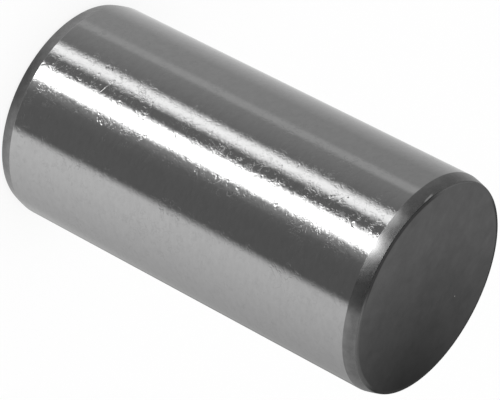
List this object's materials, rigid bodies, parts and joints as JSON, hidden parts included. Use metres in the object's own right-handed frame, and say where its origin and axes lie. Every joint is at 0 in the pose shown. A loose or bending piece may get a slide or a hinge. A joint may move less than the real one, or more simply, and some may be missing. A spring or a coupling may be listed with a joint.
{
  "type": "crank pin",
  "caption": "Solid round steel pin, ground to one diameter along its length, with a shallow lead-in taper and a flat face at each end.",
  "frame": {"origin": "centre of the lower end face, on the pin's axis, so the pin stands on z = 0", "axes": "+Z along the pin's axis, from the lower end face to the upper; the pin is the same about its axis and end for end, so X and Y are free"},
  "size_m": [0.022, 0.022, 0.043],
  "materials": {
    "ground_steel": "hardened bearing steel: outside diameter ground and superfinished to a near mirror with fine handling scuffs, lead-in tapers satin, end faces matt dark grey from heat treatment"
  },
  "bodies": {
    "root": {"crank_pin": "ground_steel"}
  },
  "joints": []
}
